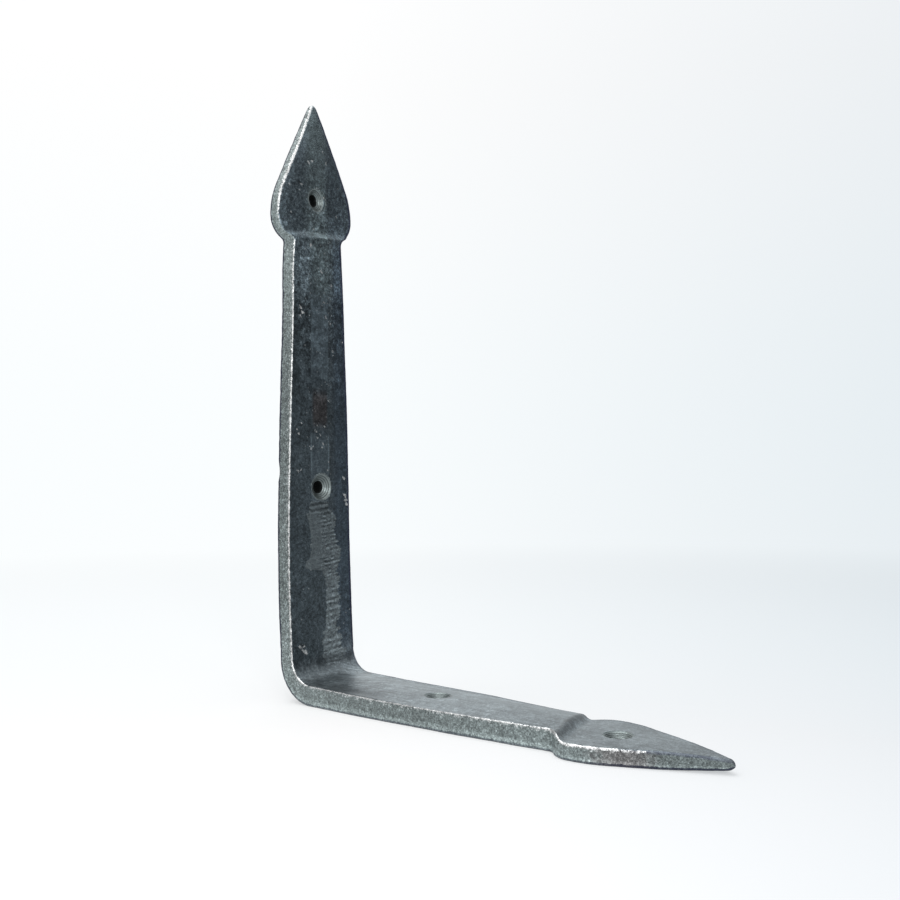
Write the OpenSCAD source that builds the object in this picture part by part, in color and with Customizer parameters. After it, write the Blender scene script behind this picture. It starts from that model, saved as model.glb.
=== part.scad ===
// Forged shelf bracket: one tapered bar, bent square, with a pointed leaf
// at each end and a pair of countersunk screw holes in each leg.

/* [Legs] */
// Height of the wall leg, from the shelf face to the tip of its leaf
wall_leg = 203.2; // [160:0.1:300]
// Reach of the shelf leg, from the wall face to the tip of its leaf
shelf_leg = 152.4; // [130:0.1:260]
// Radius of the outer face round the bend
bend_radius = 15; // [12:0.5:25]

/* [Bar] */
// Width of the bar at the bend
root_width = 28.9; // [24:0.1:36]
// Width of the bar at the neck, where each leaf starts
neck_width = 21.4; // [16:0.1:24]
// How late the bar narrows, 1 being a straight taper
taper_curve = 2; // [1:0.1:3]
// Thickness along the middle of the bar
bar_thickness = 6.9; // [5.5:0.1:9]
// Fall of the inner face from its middle to its edges
bar_crown = 0.75; // [0.1:0.05:1.2]
// Width of the flat along the middle of the inner face
band_width = 8.4; // [6:0.1:12]
// Worn bevel along every edge
edge_bevel = 0.6; // [0.2:0.1:1]

/* [Leaves] */
// Length of the wall leaf, from its neck to its tip
wall_leaf_length = 49.9; // [42:0.1:60]
// Width of the wall leaf
wall_leaf_width = 34.1; // [28:0.1:40]
// Length of the shelf leaf, from its neck to its tip
shelf_leaf_length = 48; // [42:0.1:60]
// Width of the shelf leaf
shelf_leaf_width = 30; // [28:0.1:38]
// Thickness along the middle of a leaf
leaf_thickness = 4.6; // [3:0.1:5.4]
// Fall of a leaf's inner face from its middle to its edges
leaf_crown = 0.3; // [0.1:0.05:0.8]
// Length over which the bar steps down to the leaf
step_length = 5; // [2:0.5:8]
// Radius of the belly, where the straight sides turn to the widest point
belly_radius = 25; // [20:1:50]
// Radius of the shoulders
shoulder_radius = 7.8; // [4:0.1:10]
// Radius of the hollow between neck and shoulder
neck_fillet = 3.2; // [1:0.1:5]

/* [Tips] */
// Width of the blunt end of a tip
tip_width = 1.2; // [0.8:0.1:3]
// Thickness of a tip
tip_thickness = 2.4; // [1.8:0.1:3]
// Length over which a leaf is drawn down to its tip
tip_taper = 24; // [10:1:30]
// How far a tip stands off the face that the leg lies on
tip_relief = 1.1; // [0.1:0.1:1.5]

/* [Screw holes] */
// Diameter of the screw holes
screw_diameter = 5; // [4:0.1:6]
// Angle across the countersinks
sink_angle = 90; // [82:1:100]
// Countersink diameter in the bar
bar_sink = 9; // [7:0.1:11]
// Countersink diameter in the leaves
leaf_sink = 8; // [7:0.1:10]
// Wall leaf's hole, back from the tip
wall_leaf_hole = 33.8; // [26:0.1:38]
// Shelf leaf's hole, back from the tip
shelf_leaf_hole = 31.9; // [26:0.1:38]
// Wall leg's lower hole, up from the shelf face
wall_bar_hole = 70.4; // [30:0.1:100]
// Shelf leg's inner hole, out from the wall face
shelf_bar_hole = 58.3; // [30:0.1:90]

/* [Hidden] */
hole_facets = 96;
side_steps = 8;         // stations along each straight or curved stretch of a leaf
bar_steps = 12;         // stations along the bar of one leg
bend_steps = 18;        // stations round the bend
bevel_share = 1 / 3;    // most of a section's edge or half width that a bevel takes
band_share = 0.8;       // most of a narrow section's half width that the flat takes
overshoot = 1;          // how far a cutter reaches past the face it opens
tip_radius = tip_width / 2;
neck_radius = neck_width / 2;
root_radius = root_width / 2;

// A leg is given by its reach, its leaf's length and its leaf's width
wall = [wall_leg, wall_leaf_length, wall_leaf_width];
shelf = [shelf_leg, shelf_leaf_length, shelf_leaf_width];
function reach(leg) = leg[0];
function neck(leg) = leg[0] - leg[1];
function leaf_radius(leg) = leg[2] / 2;

// Neck and shoulder are an S of two arcs, which turn through the same sweep
function drop(leg) = leaf_radius(leg) - neck_radius;
function shoulder(leg) = max(shoulder_radius, drop(leg) - neck_fillet);
function sweep(leg) = acos(1 - drop(leg) / (shoulder(leg) + neck_fillet));
function widest(leg) = neck(leg) + (shoulder(leg) + neck_fillet) * sin(sweep(leg));

// Angle of the straight side that leaves the tip and meets the belly's arc
function side_angle(leg) =
    let (along = reach(leg) - widest(leg),
         across = leaf_radius(leg) - belly_radius - tip_radius)
    atan2(across, along) + asin(belly_radius / norm([along, across]));

// A leg's side is a list of stations from its tip to the start of the bend,
// each [distance from the other leg's outer face, half width]
function straight_side(leg) =
    let (angle = side_angle(leg),
         run = reach(leg) - widest(leg) - belly_radius * sin(angle))
    [for (i = [0 : side_steps - 1], x = [run * i / side_steps])
        [reach(leg) - x, tip_radius + x * tan(angle)]];

function belly_arc(leg) =
    [for (i = [side_steps : -1 : 1], a = [side_angle(leg) * i / side_steps])
        [widest(leg) + belly_radius * sin(a),
         leaf_radius(leg) - belly_radius * (1 - cos(a))]];

function shoulder_arc(leg) =
    [for (i = [0 : side_steps], a = [sweep(leg) * i / side_steps])
        [widest(leg) - shoulder(leg) * sin(a),
         leaf_radius(leg) - shoulder(leg) * (1 - cos(a))]];

function neck_arc(leg) =
    [for (i = [side_steps - 1 : -1 : 1], a = [sweep(leg) * i / side_steps])
        [neck(leg) + neck_fillet * sin(a), neck_radius + neck_fillet * (1 - cos(a))]];

function bar_side(leg) =
    [for (i = [bar_steps : -1 : 0], u = [i / bar_steps])
        [bend_radius + (neck(leg) - bend_radius) * u,
         root_radius - (root_radius - neck_radius) * pow(u, taper_curve)]];

function leg_side(leg) = concat(
    straight_side(leg), belly_arc(leg), shoulder_arc(leg), neck_arc(leg), bar_side(leg));

// Thickness, crown and lift at a station
function smooth(u) = let (v = min(max(u, 0), 1)) v * v * (3 - 2 * v);
function barness(leg, s) = smooth((neck(leg) + step_length - s) / step_length);
function mix(a, b, share) = a + (b - a) * share;
function drawn(leg, s) = pow(max(0, 1 - (reach(leg) - s) / tip_taper), 2);
function leaf_depth(leg, s) = mix(leaf_thickness, tip_thickness, drawn(leg, s));
function depth(leg, s) = mix(leaf_depth(leg, s), bar_thickness, barness(leg, s));
function crown(leg, s) = mix(leaf_crown, bar_crown, barness(leg, s));

// Cross section: [across, out from the outer face], ten points round
function section(half, thick, fall, lift) =
    let (flank = max(0, half - band_width / 2) / (neck_radius - band_width / 2),
         edge = thick - fall * min(1, flank),
         bevel = min(edge_bevel, edge * bevel_share, half * bevel_share),
         shoulder = half - bevel,
         band = min(band_width / 2, shoulder * band_share),
         right = [[shoulder, 0], [half, bevel], [half, edge - bevel],
                  [shoulder, edge], [band, thick]])
    [for (p = right) [p.x, p.y + lift],
     for (i = [4 : -1 : 0]) [-right[i].x, right[i].y + lift]];

function leg_section(leg, station) =
    section(station[1], depth(leg, station[0]), crown(leg, station[0]),
            tip_relief * drawn(leg, station[0]));

function bend_section() = section(root_radius, bar_thickness, bar_crown, 0);

// Rings of points in space, from the wall tip round the bend to the shelf tip
wall_rings = [for (st = leg_side(wall))
    [for (p = leg_section(wall, st)) [p.y, p.x, st[0]]]];

bend_rings = [for (i = [1 : bend_steps - 1], a = [180 + 90 * i / bend_steps])
    [for (p = bend_section())
        [bend_radius + (bend_radius - p.y) * cos(a), p.x,
         bend_radius + (bend_radius - p.y) * sin(a)]]];

shelf_side = leg_side(shelf);
shelf_rings = [for (i = [len(shelf_side) - 1 : -1 : 0], st = [shelf_side[i]])
    [for (p = leg_section(shelf, st)) [st[0], p.x, p.y]]];

// Skin stretched over a list of rings that all have as many points
module skin(rings) {
    around = len(rings[0]);
    last = (len(rings) - 1) * around;
    points = [for (r = rings, p = r) p];
    sides = [for (k = [0 : len(rings) - 2], i = [0 : around - 1])
        let (a = k * around + i, b = k * around + (i + 1) % around)
        each [[a, b + around, b], [a, a + around, b + around]]];
    caps = [[for (i = [0 : around - 1]) i], [for (i = [around - 1 : -1 : 0]) last + i]];
    polyhedron(points, concat(sides, caps), convexity = 6);
}

// Cutter for one countersunk hole, standing on the outer face
module screw_hole(thickness, sink) {
    slope = tan(sink_angle / 2);
    sink_depth = (sink - screw_diameter) / 2 / slope;
    translate([0, 0, -overshoot])
        cylinder(d = screw_diameter, h = thickness + 2 * overshoot, $fn = hole_facets);
    translate([0, 0, thickness - sink_depth])
        cylinder(d1 = screw_diameter, d2 = sink + 2 * overshoot * slope,
                 h = sink_depth + overshoot, $fn = hole_facets);
}

module wall_hole(up, thickness, sink) {
    translate([0, 0, up]) rotate([0, 90, 0]) screw_hole(thickness, sink);
}

module shelf_hole(out, thickness, sink) {
    translate([out, 0, 0]) screw_hole(thickness, sink);
}

// The bracket stands on its shelf leg, with the origin under its middle
module bracket() {
    color("dimgray")
    translate([-shelf_leg / 2, 0, 0])
    difference() {
        skin(concat(wall_rings, bend_rings, shelf_rings));
        wall_hole(wall_leg - wall_leaf_hole, leaf_thickness, leaf_sink);
        wall_hole(wall_bar_hole, bar_thickness, bar_sink);
        shelf_hole(shelf_bar_hole, bar_thickness, bar_sink);
        shelf_hole(shelf_leg - shelf_leaf_hole, leaf_thickness, leaf_sink);
    }
}

bracket();
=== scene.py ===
import math
import bpy
from mathutils import Matrix, Vector


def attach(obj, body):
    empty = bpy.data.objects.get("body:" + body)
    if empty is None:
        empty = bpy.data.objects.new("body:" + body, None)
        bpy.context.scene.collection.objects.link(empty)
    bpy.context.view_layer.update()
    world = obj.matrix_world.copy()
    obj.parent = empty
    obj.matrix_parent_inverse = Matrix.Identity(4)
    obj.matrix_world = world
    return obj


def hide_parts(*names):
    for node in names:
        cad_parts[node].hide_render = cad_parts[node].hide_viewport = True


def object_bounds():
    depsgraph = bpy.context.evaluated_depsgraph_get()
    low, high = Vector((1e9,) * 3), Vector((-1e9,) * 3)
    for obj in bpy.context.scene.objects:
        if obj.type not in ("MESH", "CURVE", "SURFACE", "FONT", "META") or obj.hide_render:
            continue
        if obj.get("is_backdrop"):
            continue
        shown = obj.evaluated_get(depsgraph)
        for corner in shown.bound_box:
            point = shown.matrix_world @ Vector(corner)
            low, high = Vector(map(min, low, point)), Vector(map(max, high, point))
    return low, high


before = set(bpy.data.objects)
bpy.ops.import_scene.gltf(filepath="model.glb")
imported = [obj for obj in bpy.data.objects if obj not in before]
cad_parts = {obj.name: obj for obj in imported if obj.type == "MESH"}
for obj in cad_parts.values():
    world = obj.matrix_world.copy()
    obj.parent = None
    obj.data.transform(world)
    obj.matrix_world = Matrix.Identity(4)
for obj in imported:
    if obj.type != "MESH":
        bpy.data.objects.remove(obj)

mm = 0.001
cadLow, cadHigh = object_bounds()
scene = bpy.context.scene
scene.view_settings.view_transform = "Standard"
wallFace = 76.2  # the wall face lies this far behind the origin, in millimetres
boxMargin = 0.01


class Value:
    # one socket of a node tree; arithmetic on it adds Math nodes
    def __init__(self, graph, socket):
        self.graph = graph
        self.socket = socket

    def also(self, name):
        return Value(self.graph, self.graph.find(self.socket.node.outputs, name))

    def __add__(self, other):
        return self.graph.math("ADD", self, other)

    def __radd__(self, other):
        return self.graph.math("ADD", other, self)

    def __sub__(self, other):
        return self.graph.math("SUBTRACT", self, other)

    def __rsub__(self, other):
        return self.graph.math("SUBTRACT", other, self)

    def __mul__(self, other):
        return self.graph.math("MULTIPLY", self, other)

    def __rmul__(self, other):
        return self.graph.math("MULTIPLY", other, self)

    def __truediv__(self, other):
        return self.graph.math("DIVIDE", self, other)

    def __pow__(self, other):
        return self.graph.math("POWER", self, other)

    def __neg__(self):
        return self.graph.math("MULTIPLY", self, -1.0)


class Graph:
    # adds nodes to one tree
    def __init__(self, tree):
        self.tree = tree

    def find(self, sockets, key):
        if isinstance(key, int):
            return sockets[key]
        return next(s for s in sockets if s.enabled and (key is None or s.name == key))

    def node(self, kind, settings=None, sockets=None, out=None):
        made = self.tree.nodes.new(kind)
        for key, value in (settings or {}).items():
            setattr(made, key, value)
        for key, value in (sockets or {}).items():
            socket = self.find(made.inputs, key)
            for item in value if isinstance(value, list) else [value]:
                if isinstance(item, Value):
                    self.tree.links.new(item.socket, socket)
                else:
                    socket.default_value = item
        if made.outputs:
            return Value(self, self.find(made.outputs, out))

    def math(self, operation, *values):
        return self.node("ShaderNodeMath", {"operation": operation}, dict(enumerate(values)))

    def least(self, a, b):
        return self.math("MINIMUM", a, b)

    def most(self, a, b):
        return self.math("MAXIMUM", a, b)

    def over(self, value, limit):
        return self.math("GREATER_THAN", value, limit)

    def root(self, value):
        return self.math("SQRT", self.most(value, 0.0))

    def exp(self, value):
        return self.math("EXPONENT", value)

    def ramp(self, value, low, high, atLow=0.0, atHigh=1.0, kind="LINEAR"):
        return self.node("ShaderNodeMapRange", {"interpolation_type": kind}, {
            "Value": value, "From Min": low, "From Max": high, "To Min": atLow, "To Max": atHigh})

    def soft(self, value, low, high, atLow=0.0, atHigh=1.0):
        return self.ramp(value, low, high, atLow, atHigh, "SMOOTHSTEP")

    def mix(self, share, a, b):
        return self.node("ShaderNodeMix", {}, {"Factor": share, "A": a, "B": b})

    def curve(self, value, places, low, high):
        # a smooth line through (place, height) pairs, heights between low and high
        first, span = places[0][0], places[-1][0] - places[0][0]
        made = self.node("ShaderNodeFloatCurve", {}, {
            "Value": self.ramp(value, first, first + span)})
        mapping = made.socket.node.mapping
        points = mapping.curves[0].points
        for i, (place, tall) in enumerate(places):
            spot = ((place - first) / span, (tall - low) / (high - low))
            if i < 2:
                points[i].location = spot
            else:
                points.new(*spot)
        mapping.update()
        return made * (high - low) + low

    def vector(self, operation, *values, out="Vector"):
        return self.node("ShaderNodeVectorMath", {"operation": operation},
                         dict(enumerate(values)), out)

    def distance(self, a, b):
        return self.vector("DISTANCE", a, b, out="Value")

    def joined(self, x, y, z):
        return self.node("ShaderNodeCombineXYZ", {}, {"X": x, "Y": y, "Z": z})

    def scaled(self, vector, factors):
        return self.vector("MULTIPLY", vector, factors)

    def times(self, vector, factor):
        return self.node("ShaderNodeVectorMath", {"operation": "SCALE"}, {
            "Vector": vector, "Scale": factor})

    def blend(self, share, a, b):
        return self.node("ShaderNodeMix", {"data_type": "RGBA"}, {"Factor": share, "A": a, "B": b})

    def parts(self, vector):
        # X of a vector or red of a colour; the rest through also()
        return self.node("ShaderNodeSeparateXYZ", {}, {"Vector": vector})

    def closeTo(self, value, middle, far, near, ragged=0.0):
        # 1 within near of the middle, 0 beyond far, with an edge made ragged
        return self.soft(self.math("ABSOLUTE", value - middle) + ragged, far, near)

    def noise(self, vector, scale, detail, rough, seed):
        return self.node("ShaderNodeTexNoise", {"noise_dimensions": "4D"}, {
            "Vector": vector, "W": seed, "Scale": scale, "Detail": detail, "Roughness": rough})


cameraPlace = {
    "at": (0.174482, -0.224497, 0.070784),
    "turn": 39.772,   # degrees round the vertical, from looking along +Y
    "rise": 2.065,
    "roll": -0.499,
    "lens": 38.573,
    "sensor": 36.0,
    "clip": (0.01, 50.0),
}


def makeCamera(place):
    data = bpy.data.cameras.new("camera")
    data.sensor_width = place["sensor"]
    data.lens = place["lens"]
    data.clip_start, data.clip_end = place["clip"]
    camera = bpy.data.objects.new("camera", data)
    scene.collection.objects.link(camera)
    camera.matrix_world = (
        Matrix.Translation(place["at"])
        @ Matrix.Rotation(math.radians(place["turn"]), 4, "Z")
        @ Matrix.Rotation(math.radians(90.0 + place["rise"]), 4, "X")
        @ Matrix.Rotation(math.radians(place["roll"]), 4, "Z"))
    scene.camera = camera


makeCamera(cameraPlace)
print("camera placed")


strapSizes = {          # millimetres
    "wallLeg": 203.2,
    "shelfLeg": 152.4,
    "bendRadius": 15.0,
    "rootWidth": 28.9,
    "neckWidth": 21.4,
    "taperCurve": 1.97,
    "barThickness": 6.87,
    "barCrown": 0.74,
    "bandWidth": 8.0,
    "bandShift": -0.7,
    "leafThickness": 4.75,
    "leafCrown": 0.25,
    "wallLeafLength": 49.9,
    "wallLeafWidth": 34.1,
    "shelfLeafLength": 48.0,
    "shelfLeafWidth": 29.9,
    "shoulderRadius": 7.8,
    "neckFillet": 3.2,
    "bellyRadius": 25.4,
    "tipWidth": 1.6,
    "tipThickness": 2.4,
    "tipTaper": 24.0,
    "tipRelief": 1.15,
    "tipRound": 1.5,
    "wallSkew": 1.4,    # the near shoulder sits this much lower, the far one higher
    "wallBow": 2.39,    # how far each leg stands off its face at the corner
    "shelfBow": 0.99,
    "heelDrop": 1.0,    # the heel under the bend is this much thicker
    "bowLength": 60.0,
    "shelfDrift": 0.3,  # sideways drift of the shelf leg over 100 mm
    "shelfSkew": 0.7,   # the near shoulder of the shelf leaf sits this much further out
    "neckFlare": 0.8,   # the near side is this much fuller below the wall leaf,
    "flareDrop": 5.3,   # most of all this far below its neck, and over this length
    "flareLength": 15.0,
    "leafShift": 0.1,   # the wall leaf sits this much off the middle
    "rootTrim": 0.35,   # the near side is this much slimmer at the bend
    "farDrop": 0.5,     # the far edge of the shelf leg falls away towards its neck
    "barEdge": 0.6,     # rounding of the inner edges, on the bar and on the leaves
    "leafEdge": 0.85,
    "tipSoften": 0.4,   # the inner edges are rounder by this towards the shelf tip
    "backEdge": 1.05,   # rounding of the outer edges, on the wall leg and on the shelf leg
    "soleEdge": 0.6,
    "leastEdge": 0.25,
    "edgeWander": 0.45,  # how unevenly every edge is rounded
    "wallStepLength": 2.7,
    "shelfStepLength": 3.0,
    "wallStep": 3.7,    # middle of the step past the neck, and its slant
    "wallStepSlant": 0.115,
    "shelfStep": 2.7,
    "shelfStepSlant": -0.265,
    "hammerDepth": 0.30,    # reliefs
    "scaleDepth": 0.10,
    "pitDepth": 0.16,
    "scabDepth": 0.10,
    "grainDepth": 0.09,
    "wearDepth": 0.12,
    "seed": 3.0,
}
strapMesh = {
    "stations": 680,
    "tipStations": 12,
    "face": 54,
    "corner": 5,
    "side": 11,
    "back": 20,
    "weld": 0.002,
}
# from where to where a change of form comes in, in millimetres from the corner,
# from the neck or from the tip
strapBlends = {
    "flareTop": (1.5, -1.5),
    "leafStart": (1.0, -3.0),
    "rootTrim": (70.0, 20.0),
    "farDrop": (60.0, 100.0),
    "tipSoften": (30.0, 12.0),
}
screwSizes = {          # millimetres, from the wall face and the shelf face
    "bore": 4.3,
    "backBore": 3.6,
    "angle": 102.0,
    "wallLeafTilt": 9.0,   # degrees the hole near the wall tip leans sideways
    "flare": 0.22,
    "inlet": 0.12,      # the bore widens from its back end over this
    "reach": 1.0,       # the cutter starts this far outside the outer face
    "rings": 4.0,
    "ringDepth": 0.05,
    "backMargin": 0.2,  # the sink's look stops this close to the outer faces,
    "farAway": 9.0,     # where its share is set to this
    "wallLeaf": (169.4, 8.0),   # distance from the corner and width of each sink
    "wallBar": (70.4, 9.1),
    "shelfBar": (58.3, 8.1),
    "shelfLeaf": (120.5, 8.0),
}
screwMesh = {"around": 96, "entry": 1.0, "bore": 2.0, "cone": 24.0, "lip": 28.0, "rim": 30}


def newMaterial(name):
    material = bpy.data.materials.new(name)
    material.use_nodes = True
    material.node_tree.nodes.clear()
    return material, Graph(material.node_tree)


def newTree(name, sizes):
    tree = bpy.data.node_groups.new(name, "GeometryNodeTree")
    for key in sizes:
        tree.interface.new_socket(name=key, in_out="INPUT", socket_type="NodeSocketFloat")
    tree.interface.new_socket(name="Geometry", in_out="OUTPUT", socket_type="NodeSocketGeometry")
    graph = Graph(tree)
    inlet = graph.node("NodeGroupInput")
    return graph, {key: inlet.also(key) for key in sizes}


def stored(g, geometry, name, value):
    return g.node("GeometryNodeStoreNamedAttribute", {"data_type": "FLOAT", "domain": "POINT"}, {
        "Geometry": geometry, "Name": name, "Value": value})


def named(g, name):
    return g.node("GeometryNodeInputNamedAttribute", {"data_type": "FLOAT"}, {"Name": name})


def leafSide(g, d, s, reach, leafLength, leafWidth):
    # half width at distance s from the corner: bar, hollow, shoulder, belly, straight
    rootHalf, neckHalf, leafHalf = d["rootWidth"] * 0.5, d["neckWidth"] * 0.5, leafWidth * 0.5
    shoulder, fillet, belly = d["shoulderRadius"], d["neckFillet"], d["bellyRadius"]
    neck = reach - leafLength
    turn = shoulder + fillet
    swingSine = g.math("SINE", g.math("ARCCOSINE", 1.0 - (leafHalf - neckHalf) / turn))
    widest = neck + turn * swingSine
    tip = d["tipWidth"] * 0.5
    along = reach - widest
    rise = leafHalf - belly - tip
    slope = (g.math("ARCTAN2", rise, along)
             + g.math("ARCSINE", belly / g.root(along * along + rise * rise)))
    part = g.ramp(s, d["bendRadius"], neck)
    half = rootHalf - (rootHalf - neckHalf) * part ** d["taperCurve"]
    up, back = s - neck, widest - s
    hollow = neckHalf + fillet - g.root(fillet * fillet - up * up)
    half = g.mix(g.over(up, 0.0), half, hollow)
    rounded = leafHalf - shoulder + g.root(shoulder * shoulder - back * back)
    half = g.mix(g.over(up, fillet * swingSine), half, rounded)
    bulge = leafHalf - belly + g.root(belly * belly - back * back)
    half = g.mix(g.over(s, widest), half, bulge)
    straight = tip + (reach - s) * g.math("TANGENT", slope)
    return g.mix(g.over(s, widest + belly * g.math("SINE", slope)), half, straight)


def strapTree():
    g, d = newTree("forgedStrap", strapSizes)
    m, blends = strapMesh, strapBlends
    around = m["face"] + 4 * m["corner"] + 2 * m["side"] + m["back"]
    grid = g.node("GeometryNodeMeshGrid", {}, {
        "Size X": 1.0, "Size Y": 1.0, "Vertices X": m["stations"], "Vertices Y": around + 1})
    flat = g.parts(g.node("GeometryNodeInputPosition"))
    last = m["stations"] - 1
    station = (flat + 0.5) * last
    column = (flat.also("Y") + 0.5) * around

    # distance along the strap, from the wall tip round the bend to the shelf tip
    bend = d["bendRadius"]
    wallRun = d["wallLeg"] - bend
    bendRun = (bend - d["barThickness"] * 0.5) * (math.pi / 2)
    total = wallRun + bendRun + d["shelfLeg"] - bend
    fromEnd = g.least(station, last - station)
    ends = m["tipStations"]
    rounding = g.ramp(fromEnd, 0.0, float(ends), 0.0, math.pi / 2)
    pitch = (total - d["tipRound"] * 2.0) / (last - 2 * ends)
    inward = (d["tipRound"] * (1.0 - g.math("COSINE", rounding))
              + g.most(fromEnd - float(ends), 0.0) * pitch)
    along = g.mix(g.over(station, last / 2), inward, total - inward)

    pastWall = g.most(along - wallRun - bendRun, 0.0)
    beforeBend = g.most(wallRun - along, 0.0)
    turned = g.ramp(along, wallRun, wallRun + bendRun)
    s = bend + pastWall + beforeBend
    onShelf = g.over(turned, 0.5)

    def byLeg(size):
        return g.mix(onShelf, d["wall" + size], d["shelf" + size])

    reach = byLeg("Leg")

    # place of the column in the section: share across, share up the side, corner angle
    f, c, e, b = m["face"], m["corner"], m["side"], m["back"]
    stops = [0]
    for count in (f, c, e, c, b, c, e, c):
        stops.append(stops[-1] + count)
    part = [g.ramp(column, float(stops[i]), float(stops[i + 1])) for i in range(8)]
    across = 1.0 - 2.0 * part[0] + 2.0 * part[4]
    upSide = 1.0 - part[2] + part[6]
    corner = (1.0 + part[1] + part[3] + part[5] + part[7]) * (math.pi / 2)
    facing = g.math("SINE", corner)     # 1 on the inner face, -1 on the outer face
    nearSide = g.over(0.0, across)

    skew = d["wallSkew"] * (nearSide * 2.0 - 1.0)
    leafLength = g.mix(onShelf, d["wallLeafLength"] + skew,
                       d["shelfLeafLength"] - d["shelfSkew"] * nearSide)
    half = leafSide(g, d, s, reach, leafLength, byLeg("LeafWidth"))
    neckGap = s - d["wallLeg"] + d["wallLeafLength"]
    below = (neckGap + d["flareDrop"]) / d["flareLength"]
    flare = g.exp(-(below * below)) * g.soft(neckGap, *blends["flareTop"])
    flare = flare * nearSide * (1.0 - onShelf)
    trim = g.ramp(s, *blends["rootTrim"]) * nearSide
    half = half + flare * d["neckFlare"] - trim * d["rootTrim"]

    lane = g.joined(along * 0.35, upSide * 3.0 + nearSide * 7.0, onShelf)
    wander = g.noise(lane, 1.0, 3.0, 0.6, d["seed"]) - 0.5
    inside = g.over(facing, 0.0)
    before, after = blends["leafStart"]
    onLeaf = g.soft(reach - s, leafLength + before, leafLength + after)
    leafEdge = d["leafEdge"] + g.soft(
        reach - s, *blends["tipSoften"]) * onShelf * d["tipSoften"]
    outerEdge = g.mix(turned, d["backEdge"], d["soleEdge"])
    edge = g.mix(inside, outerEdge, g.mix(onLeaf, d["barEdge"], leafEdge))
    edge = edge * (1.0 + d["edgeWander"] * 2.0 * wander)
    edge = g.least(g.most(edge, d["leastEdge"]), half * 0.8)
    y = across * (half - edge) + edge * g.math("COSINE", corner)

    # thickness: leaf or bar, with the step slanting across the strap
    drawn = g.most(1.0 - (reach - s) / d["tipTaper"], 0.0) ** 2.0
    leafDeep = g.mix(drawn, d["leafThickness"], d["tipThickness"])
    middle = reach - byLeg("LeafLength") + byLeg("Step") + y * byLeg("StepSlant")
    halfStep = byLeg("StepLength") * 0.5
    barness = g.soft(s - middle, halfStep, -halfStep)
    bandEdge = d["bandWidth"] * 0.5
    flank = g.most(g.math("ABSOLUTE", y - d["bandShift"]) - bandEdge, 0.0) / (
        d["neckWidth"] * 0.5 - bandEdge)
    flanks = g.least(flank, 1.0)
    domed = g.least((y / (d["neckWidth"] * 0.5)) ** 2.0, 1.0)   # the shelf leg has no crisp band
    fall = g.mix(barness, d["leafCrown"], d["barCrown"]) * g.mix(turned, flanks, domed)
    fall = fall + (g.ramp(y, 0.0, half) ** 2.0) * barness * onShelf * g.soft(
        s, *blends["farDrop"]) * d["farDrop"]
    deep = g.mix(barness, leafDeep, d["barThickness"])
    top = deep - fall
    n = edge + upSide * (top - edge * 2.0) + edge * facing

    # round the ends over, then lift the tips and bow the corner off its faces
    shrink = g.math("SINE", rounding)
    y = y * shrink
    n = top * 0.5 + (n - top * 0.5) * shrink
    lift = d["shelfBow"] - (1.0 - upSide) * d["heelDrop"]
    bow = g.mix(turned, d["wallBow"], lift) * g.ramp(s, d["bowLength"], 0.0) ** 2.0
    n = n + drawn * d["tipRelief"] + bow
    y = y + turned * d["shelfDrift"] * s * 0.01 + onLeaf * (1.0 - onShelf) * d["leafShift"]
    angle = turned * (math.pi / 2)
    x = bend - (bend - n) * g.math("COSINE", angle) + pastWall
    z = bend - (bend - n) * g.math("SINE", angle) + beforeBend

    # what the material and the reliefs need to know about each point
    inner = g.over(upSide, 0.999) * inside
    body = grid
    for name, value in (
            ("along", along), ("across", y), ("inner", facing * inner),
            ("corner", g.math("ABSOLUTE", g.math("SINE", corner * 2.0))),
            ("rim", half - g.math("ABSOLUTE", across * half)),
            ("rise", upSide), ("hidden", g.most(-facing, 0.0))):
        body = stored(g, body, name, value)

    body = g.node("GeometryNodeSetPosition", {}, {
        "Geometry": body, "Position": g.joined(x - wallFace, y, z)})
    body = g.node("GeometryNodeMergeByDistance", {}, {"Geometry": body, "Distance": m["weld"]})
    body = g.node("GeometryNodeFlipFaces", {}, {"Mesh": body})
    body = drilled(g, d, keptInside(g, forged(g, d, body)))
    body = g.node("GeometryNodeTransform", {}, {"Geometry": body, "Scale": (mm, mm, mm)})
    body = g.node("GeometryNodeRealizeInstances", {}, {"Geometry": body})
    body = g.node("GeometryNodeSetMaterial", {}, {
        "Geometry": body, "Material": bpy.data.materials["forgedIron"]})
    g.node("NodeGroupOutput", {}, {"Geometry": body})
    return g.tree


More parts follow.
